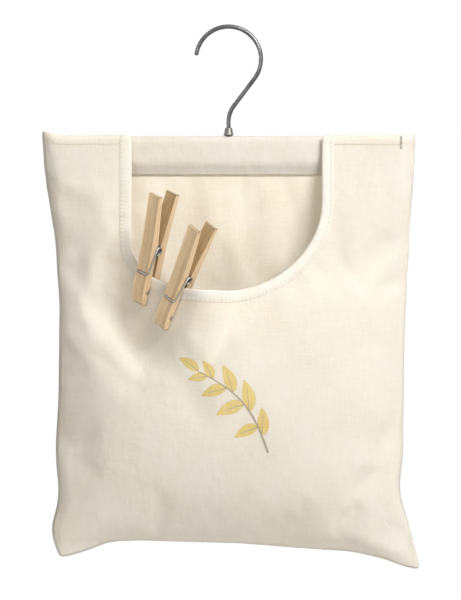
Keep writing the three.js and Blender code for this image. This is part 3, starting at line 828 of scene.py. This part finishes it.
def mouth_binding():
    """The folded tape, and its flat size."""
    face = CLOTH / 2 + TAPE
    section = [(TAPE_WIDTH, face - 0.0002), (0.0076, face), (TAPE_STITCH, face - 0.00015), (0.0048, face)]
    section += [(0.0026, face + 0.0001), (0.0006, face), (-0.0004, face * 0.6), (-0.0006, 0)]
    section += [(across, -out) for across, out in reversed(section[:-1])]
    rows = []
    for k, (place, away) in enumerate(zip(mouth_cut, mouth_across)):
        edge, edge_out = front_surface.at(*(place + EDGE_INSET * away))
        inside, _ = front_surface.at(*(place + 0.0015 * away))
        inward = unit(inside - edge)
        drawn = 0.5 + 0.5 * math.cos(2 * math.pi * k / STITCH_STEPS)
        row = []
        for across, out in section:
            if across > 0.0005:
                point, normal = front_surface.at(*(place + across * away))
            else:
                point, normal = edge + inward * (across - EDGE_INSET), edge_out
            dip = STITCH_DIP * drawn * math.exp(-(((across - TAPE_STITCH) / DIP_REACH) ** 2))
            row.append(point + normal * (out - math.copysign(dip, out)))
        rows.append(row)
    run = np.arange(len(rows)) * STITCH_PITCH / STITCH_STEPS
    girth = runs(np.array(section))
    cut = [(g, r) for r in run for g in girth]
    faces = grid_faces(len(rows), len(section))
    made = new_object("mouth_tape", np.array(rows).reshape(-1, 3), faces, tape, cut)
    return thicken(made, TAPE * 0.8, -1), (girth[-1], run[-1])


binding, binding_flat = mouth_binding()


# Stitches: short arched threads along a line of points with outward directions
STITCH_RINGS = 6
STITCH_SIDES = 6


def stitches(name, lines, material=thread, length=0.0023):
    radius = 0.00026
    points, faces, cut = [], [], []
    for line in lines:
        for (a, out_a), (b, out_b) in zip(line[:-1:2], line[1::2]):
            start, end = Vector(a), Vector(b)
            out = (Vector(out_a) + Vector(out_b)).normalized()
            along = (end - start).normalized()
            middle, side = (start + end) / 2, along.cross(out)
            first = len(points)
            for t in np.linspace(-1, 1, STITCH_RINGS):
                lift = radius * (0.9 - 1.5 * t * t)
                centre = middle + along * (t * length / 2) + out * lift
                for angle in round_angles(STITCH_SIDES):
                    spoke = side * math.cos(angle) + out * math.sin(angle)
                    points.append(centre + spoke * radius * math.sqrt(1.15 - t * t * 0.85))
                    cut.append((angle * radius, t * length))
            faces += tube_faces(STITCH_RINGS, STITCH_SIDES, first)
    return new_object(name, points, faces, material, cut)


def seam_line(surface, places, out):
    """Pairs of points for each stitch along a line of flat places, set off to one face of the cloth."""
    line = []
    for place in spaced(places, STITCH_PITCH / 2):
        point, normal = surface.at(*place)
        line.append((point + normal * out, normal * math.copysign(1, out)))
    return line


SEAM_END = 0.004
BESIDE_TAPE = 0.001
CASING_STITCH = 0.0022
TACK_X, TACK_TOP, TACK_FOOT = 0.127, -0.0015, -0.0095
TACK_STEP = 0.0005
seam_reach = WIDTH / 2 - SEAM_END

tape_face = CLOTH / 2 + TAPE - 0.0002
tape_line = []
for place, away in zip(mouth_cut[1::2], mouth_across[1::2]):
    point, normal = front_surface.at(*(place + TAPE_STITCH * away))
    tape_line.append((point + normal * tape_face, normal))
mouth_stitching = stitches("tape_stitching", [tape_line])

shoulders = [
    (-seam_reach, mouth_cut[0][0] - TAPE_WIDTH - BESIDE_TAPE),
    (mouth_cut[-1][0] + TAPE_WIDTH + BESIDE_TAPE, seam_reach),
]
shoulder_lines = [
    seam_line(front_surface, [(x, SHOULDER_STITCH) for x in ends], CLOTH / 2) for ends in shoulders
]
shoulder_stitching = stitches("shoulder_stitching", shoulder_lines)

tack_places = [TACK_X + TACK_STEP * k for k in (-1, 0, 1)]
tack_lines = [seam_line(front_surface, [(x, TACK_TOP), (x, TACK_FOOT)], CLOTH / 2) for x in tack_places]
bar_tack = stitches("bar_tack", tack_lines, tack_thread, length=STITCH_PITCH)

casing_runs = [CASING_STITCH, back_stitch_run - CASING_STITCH]
casing_lines = [
    seam_line(back_surface, [(x, -run) for x in (-seam_reach, seam_reach)], CLOTH / 2) for run in casing_runs
]
casing_stitching = stitches("casing_stitching", casing_lines)


# Printed sprig on the front: a curved stem with veined leaves
PRINT_OUT = CLOTH / 2 + 0.00008
VEINS_OUT = PRINT_OUT + 0.00006
LEAF_WIDTH = 0.42
LEAF_BEND = 0.25
VEIN_LENGTH = 0.72
VEIN_LEAN = 0.18


def printed(name, outlines, material, out):
    """Flat shapes laid on the front panel, each a grid of flat places."""
    points, faces, cut = [], [], []
    for grid in outlines:
        first = len(points)
        for row in grid:
            for place in row:
                point, normal = front_surface.at(*place)
                points.append(point + normal * out)
                cut.append(place)
        faces += [[first + at for at in face] for face in grid_faces(len(grid), len(grid[0]))]
    return new_object(name, points, faces, material, cut)


def leaf(root, angle, length, width, bend):
    """An almond-shaped leaf from its root, bent a little to one side."""
    grid = []
    for t in np.linspace(0, 1, 15):
        turn = math.radians(angle) + bend * t
        spine = np.array(root) + length * t * np.array((math.cos(turn), math.sin(turn)))
        half = width / 2 * math.sin(math.pi * t**0.8) ** 0.9 + 0.00012
        side = np.array((-math.sin(turn), math.cos(turn)))
        grid.append([spine + side * half * k for k in np.linspace(-1, 1, 5)])
    return grid


def stroke(points, start_width, end_width):
    """A printed line along points, tapered."""
    line = spaced(points, 0.002)
    run = np.gradient(line, axis=0)
    grid = []
    for k, (place, way) in enumerate(zip(line, run)):
        half = lerp(start_width, end_width, k / (len(line) - 1)) / 2
        side = unit((-way[1], way[0]))
        grid.append([place + side * half * t for t in (-1, 0, 1)])
    return grid


SPRIG_ROOT = np.array((0.030, -0.240))
SPRIG_TIP = np.array((-0.026, -0.181))


def sprig_stem(t):
    bow = 0.010 * math.sin(math.pi * t)
    return lerp(SPRIG_ROOT, SPRIG_TIP, t) + bow * np.array((0.72, 0.69))


# Each leaf's place along the stem, angle in degrees and length
SPRIG_LEAVES = [
    (0.16, 78, 0.021),
    (0.24, -168, 0.020),
    (0.40, 88, 0.024),
    (0.48, -172, 0.023),
    (0.63, 98, 0.022),
    (0.70, -176, 0.021),
    (0.85, 108, 0.017),
    (0.90, 176, 0.016),
    (1, 134, 0.018),
]
leaf_shapes, vein_shapes = [], [stroke([sprig_stem(t) for t in np.linspace(0, 1, 25)], 0.0016, 0.0008)]
for at, angle, length in SPRIG_LEAVES:
    root = sprig_stem(at)
    leaf_shapes.append(leaf(root, angle, length, length * LEAF_WIDTH, LEAF_BEND))
    lean = math.radians(angle) + VEIN_LEAN
    tip = root + VEIN_LENGTH * length * np.array((math.cos(lean), math.sin(lean)))
    vein_shapes.append(stroke([root, tip], 0.0007, 0.0003))
sprig_leaves = printed("printed_leaves", leaf_shapes, print_yellow, PRINT_OUT)
sprig_veins = printed("printed_stem", vein_shapes, print_grey, VEINS_OUT)


# Wire bent along a line of points, with rounded ends
def wire_mesh(name, line, diameter, material, sides):
    line = [Vector(p) for p in line]
    radius = diameter / 2
    last = len(line) - 1
    ahead = [(line[min(i + 1, last)] - line[max(i - 1, 0)]).normalized() for i in range(len(line))]
    caps = [(math.cos(a), math.sin(a)) for a in np.radians((75, 50, 25))]
    rings = [(line[0] - ahead[0] * radius * s, ahead[0], radius * c) for c, s in caps]
    rings += [(p, d, radius) for p, d in zip(line, ahead)]
    rings += [(line[-1] + ahead[-1] * radius * s, ahead[-1], radius * c) for c, s in reversed(caps)]
    normal = ahead[0].orthogonal().normalized()
    points = []
    for centre, way, size in rings:
        normal = (normal - way * normal.dot(way)).normalized()
        other = way.cross(normal)
        for angle in round_angles(sides):
            points.append(centre + (normal * math.cos(angle) + other * math.sin(angle)) * size)
    return new_object(name, points, tube_faces(len(rings), sides), material)


def arc(centre, radius, start, end, count):
    """Points of an arc in a plane, angles in degrees."""
    return [
        (centre[0] + radius * math.cos(a), centre[1] + radius * math.sin(a))
        for a in np.radians(np.linspace(start, end, count))
    ]


def hook_line():
    """The hook's middle line, from its head up the shank and neck and round the crook."""
    crown = WIRE / 2 - TOP
    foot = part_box("hook")[0].z - TOP + WIRE / 2
    points = [(0, z) for z in np.linspace(foot, NECK_HEIGHT, 12)]
    points += arc((NECK_RADIUS, NECK_HEIGHT), NECK_RADIUS, 180, 180 - NECK_ANGLE, 16)[1:]
    bend = arc((0, crown - CROOK_RADIUS), CROOK_RADIUS, -NECK_ANGLE, CROOK_TIP_ANGLE, 72)
    points += [tuple(lerp(np.array(points[-1]), np.array(bend[0]), t)) for t in np.linspace(0, 1, 10)[1:-1]]
    return [(x, 0, z + TOP) for x, z in points + bend]


hook = wire_mesh("hook_bend", hook_line(), WIRE, hook_wire, sides=24)


def turned(name, profile, material, z):
    """A ring-section body turned about Z, from a closed profile of radius and height."""
    count, size = 48, len(profile)
    points = [(r * math.cos(a), r * math.sin(a), h + z) for a in round_angles(count) for r, h in profile]
    faces = []
    for turn in range(count):
        near, far = turn * size, (turn + 1) % count * size
        for k in range(size):
            n = (k + 1) % size
            faces.append([near + k, far + k, far + n, near + n])
    return new_object(name, points, faces, material)


BORE = WIRE / 2 + GAP
BARREL = BORE + 0.0007
eyelet_low, eyelet_high = (corner.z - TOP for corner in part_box("hook_eyelet"))
eyelet_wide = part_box("hook_eyelet")[1].x
rim = lerp(GAP, eyelet_high, 0.2)
profile = [
    (BORE, eyelet_low),
    (BARREL, eyelet_low),
    (BARREL, GAP),
    (eyelet_wide - 0.0005, GAP),
    (eyelet_wide - 0.0001, GAP + 0.0003),
    (eyelet_wide, GAP + 0.0006),
    (eyelet_wide - 0.0001, rim),
    (eyelet_wide - 0.0004, rim + 0.0005),
    (BARREL + 0.0002, eyelet_high - 0.0004),
    (BARREL - 0.0001, eyelet_high),
    (BORE + 0.0003, eyelet_high),
    (BORE, eyelet_high - 0.0004),
]
eyelet = turned("hook_collar", profile, collar_steel, TOP)


# Pegs: halves cut from a profile, along the length and outward, with eased edges
def quadratic(a, b, c, count):
    """Points of a curve from a to c that leaves a and meets c along lines through b."""
    a, b, c = (np.array(p) for p in (a, b, c))
    return [tuple((1 - t) ** 2 * a + 2 * t * (1 - t) * b + t * t * c) for t in np.linspace(0, 1, count)]


def peg_profile():
    """The half's outline, and how many of its first edges face the other half."""
    tip, end = -COIL_FROM_TIP, PEG_LENGTH - COIL_FROM_TIP
    seat = math.degrees(math.asin(JAW_HALF / COIL_SEAT))
    outer = OUTER_FACE + HANDLE_FLARE
    profile = [(tip, JAW_HALF)]
    profile += arc((tip + LINE_NOTCH_FROM_TIP, JAW_HALF), LINE_NOTCH_RADIUS, 180, 0, 13)
    profile += arc((0, 0), COIL_SEAT, 180 - seat, seat, 15)
    profile.append((end, JAW_HALF + HANDLE_SPREAD))
    inner = len(profile) - 1
    profile += quadratic((end, outer - HANDLE_ROUND), (end, outer), (end - HANDLE_ROUND, outer), 6)
    profile.append((COIL_SEAT, OUTER_FACE))
    profile += arc((-ARM_REACH, OUTER_FACE), ARM_GROOVE, 0, -180, 11)
    profile += quadratic(
        (tip + JAW_TAPER, OUTER_FACE), (tip + JAW_TAPER / 3, OUTER_FACE), (tip, JAW_HALF + PEG_TIP), 12
    )
    return np.array(profile), inner


def inset(profile, by):
    """The profile drawn in all round, where the half's edges are eased."""
    before, after = np.roll(profile, 1, axis=0), np.roll(profile, -1, axis=0)
    run_in = (profile - before) / np.linalg.norm(profile - before, axis=1)[:, None]
    run_out = (after - profile) / np.linalg.norm(after - profile, axis=1)[:, None]
    normal = np.stack([run_in[:, 1] + run_out[:, 1], -run_in[:, 0] - run_out[:, 0]], axis=1)
    normal /= np.maximum(np.linalg.norm(normal, axis=1)[:, None], 1e-9)
    return profile + normal * by


def peg_half(name, place, way):
    """Half a peg; way is -1 for the front one and 1 for the back one, turned about the peg's length."""
    profile, inner = peg_profile()
    half = PEG_BREADTH / 2
    eased = [(half, 0.00045), (half - 0.00015, 0.00015), (half - 0.0005, 0)]
    layers = eased + [(-b, by) for b, by in reversed(eased)]
    points = [(-way * b, way * n, t) for b, by in layers for t, n in inset(profile, by)]
    count = len(profile)
    made = new_object(name, points, tube_faces(len(layers), count), peg_wood)
    # Faces that face the other half take the second, darker wood: painted shade between the halves
    made.data.materials.append(shaded_inner_wood)
    for polygon in made.data.polygons[: (len(layers) - 1) * count]:
        polygon.material_index = int(polygon.index % count < inner)
    made.matrix_world = place
    made.data.set_sharp_from_angle(angle=math.radians(35))
    return made


def spring_lines():
    """The front arm, the coil and the back arm of a peg's spring."""
    corner = np.array((ARM_SIDE, -OUTER_FACE, -ARM_REACH))
    away = math.hypot(ARM_REACH, OUTER_FACE)
    leave = math.pi - math.atan2(OUTER_FACE, ARM_REACH) - math.acos(COIL_RADIUS / away)

    def on_coil(side, angle):
        return np.array((side, -COIL_RADIUS * math.sin(angle), COIL_RADIUS * math.cos(angle)))

    to_corner = unit(corner - on_coil(ARM_SIDE, leave))
    inward = np.array((-1, 0, 0))
    centre = corner - to_corner * ARM_BEND + inward * ARM_BEND
    arm = [np.array((x, -OUTER_FACE, -ARM_REACH)) for x in np.linspace(-ARM_END, ARM_SIDE - ARM_BEND, 6)[:-1]]
    for angle in np.linspace(math.pi / 2, 0, 8):
        arm.append(centre + to_corner * ARM_BEND * math.sin(angle) - inward * ARM_BEND * math.cos(angle))
    arm += [lerp(arm[-1], on_coil(ARM_SIDE, leave), t) for t in np.linspace(0, 1, 8)[1:]]
    turn = 2 * math.pi * COIL_TURNS + 2 * leave
    coil = [on_coil(lerp(ARM_SIDE, -ARM_SIDE, t), leave - turn * t) for t in np.linspace(0, 1, 180)]
    return arm, coil, [p * (-1, -1, 1) for p in reversed(arm)]


for name, place in PEGS.items():
    lever = name + "_lever"
    front_half = peg_half(name + "_front", place, -1)
    back_half = peg_half(name + "_back", place, 1)
    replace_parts(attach(front_half, lever), name + "_front_half")
    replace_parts(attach(back_half, name), name + "_back_half")
    lines = [[place @ Vector(p) for p in line] for line in spring_lines()]
    front_arm = wire_mesh(name + "_front_arm", lines[0], SPRING_WIRE, plated, sides=12)
    coil = wire_mesh(name + "_coil", lines[1], SPRING_WIRE, plated, sides=12)
    back_arm = wire_mesh(name + "_back_arm", lines[2], SPRING_WIRE, plated, sides=12)
    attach(front_arm, lever)
    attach(back_arm, name)
    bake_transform(coil)
    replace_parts(coil, name + "_spring")

# What rides on what, and what each piece stands for
trimmings = [mouth_stitching, shoulder_stitching, bar_tack, casing_stitching, sprig_leaves, sprig_veins]
for piece in [front_panel, back_panel, binding, eyelet, *trimmings]:
    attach(piece, "bag")
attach(hook, "hook")
for piece, nodes, slot in [
    (front_panel, ["front_panel"], "canvas"),
    (back_panel, ["back_panel"], "canvas"),
    (binding, ["mouth_binding"], "binding_tape"),
    (eyelet, ["hook_eyelet"], "plated_steel"),
    (hook, ["hook"], "hook_wire"),
]:
    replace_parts(piece, *nodes)
for name, material in {"hook_washer": plated, "hanger_bar": bar_wood}.items():
    frame["nodes"][name].data.materials.clear()
    frame["nodes"][name].data.materials.append(material)


# Stage: pale floor under the hanging bag, white surroundings, soft light from the right, the front and behind
FLOOR_RADIUS = 2.6
FLOOR_DROP = 0.33
FLOOR_SIDES = 96
floor_material, floor_tree, floor_shader = new_material("floor")
speckle = stretched_noise(floor_tree, node(floor_tree, "TexCoord").outputs["Object"], (9, 9, 9))
floor_colour = colour_ramp(floor_tree, speckle, [(0.3, (0.70, 0.69, 0.67)), (0.7, (0.74, 0.73, 0.71))])
floor_tree.links.new(floor_colour, floor_shader.inputs["Base Color"])
floor_shader.inputs["Roughness"].default_value = 0.8
floor_shader.inputs["Emission Color"].default_value = (1, 1, 1, 1)
floor_glow = math_of(floor_tree, "MULTIPLY", node(floor_tree, "LightPath").outputs["Is Camera Ray"], 0.5)
floor_tree.links.new(floor_glow, floor_shader.inputs["Emission Strength"])
floor_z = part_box("back_panel")[0].z - FLOOR_DROP
floor_rim = [
    (FLOOR_RADIUS * math.cos(a), FLOOR_RADIUS * math.sin(a), floor_z) for a in round_angles(FLOOR_SIDES)
]
new_object("floor", floor_rim, [list(range(FLOOR_SIDES))], floor_material)

world = bpy.data.worlds.new("studio")
scene.world = world
world.use_nodes = True
sky = world.node_tree
sky.nodes.clear()
seen = node(sky, "LightPath").outputs
white = math_of(sky, "MAXIMUM", seen["Is Camera Ray"], seen["Is Glossy Ray"])
white = math_of(sky, "MAXIMUM", white, seen["Is Transmission Ray"])
toward = node(sky, "TexCoord").outputs["Generated"]
facing = node(sky, "VectorMath", {0: toward, 1: (0.45, 0.4, 0.65)}, operation="DOT_PRODUCT")
level = remapped(sky, facing.outputs["Value"], -0.8, 0.9, 0.08, 0.46)
ambient = node(sky, "Background", {"Color": (1, 0.94, 0.855, 1), "Strength": level})
backdrop = node(sky, "Background", {"Color": (1, 1, 1, 1), "Strength": 1.0})
both = node(sky, "MixShader", {0: white, 1: ambient.outputs[0], 2: backdrop.outputs[0]})
sky.links.new(both.outputs[0], node(sky, "OutputWorld").inputs["Surface"])


def softbox(name, place, target, width, height, power, colour):
    light = bpy.data.lights.new(name, "AREA")
    light.shape = "RECTANGLE"
    light.size, light.size_y = width, height
    light.energy = power
    light.color = colour
    made = bpy.data.objects.new(name, light)
    made.location = place
    made.rotation_euler = (Vector(target) - Vector(place)).to_track_quat("-Z", "Y").to_euler()
    scene.collection.objects.link(made)


LIT = (0, 0, -0.22)
softbox("key", (0.86, -1.38, 0.98), LIT, 0.8, 0.8, 34, (1, 1, 0.99))
softbox("front", (-0.75, -2.15, 0.15), LIT, 0.9, 0.9, 6.5, (1, 0.985, 0.955))
softbox("back", (-0.3, 1.7, 0.3), LIT, 0.9, 0.9, 19, (0.98, 0.99, 1))

# Camera: straight on, from far enough that the view is nearly flat
METRES_PER_PIXEL = 0.00074
PHOTO_HEIGHT = 600
DISTANCE = 2.02
SENSOR = 36
PICTURE_X, PICTURE_Z = 0.0015, -0.2007
camera = bpy.data.cameras.new("camera")
camera.sensor_fit = "VERTICAL"
camera.sensor_width = camera.sensor_height = SENSOR
camera.lens = SENSOR * DISTANCE / (PHOTO_HEIGHT * METRES_PER_PIXEL)
eye = bpy.data.objects.new("camera", camera)
eye.location = (PICTURE_X, -DISTANCE, PICTURE_Z)
eye.rotation_euler = (math.pi / 2, 0, 0)
scene.collection.objects.link(eye)
scene.camera = eye
scene.view_settings.view_transform = "Standard"

bpy.context.view_layer.update()
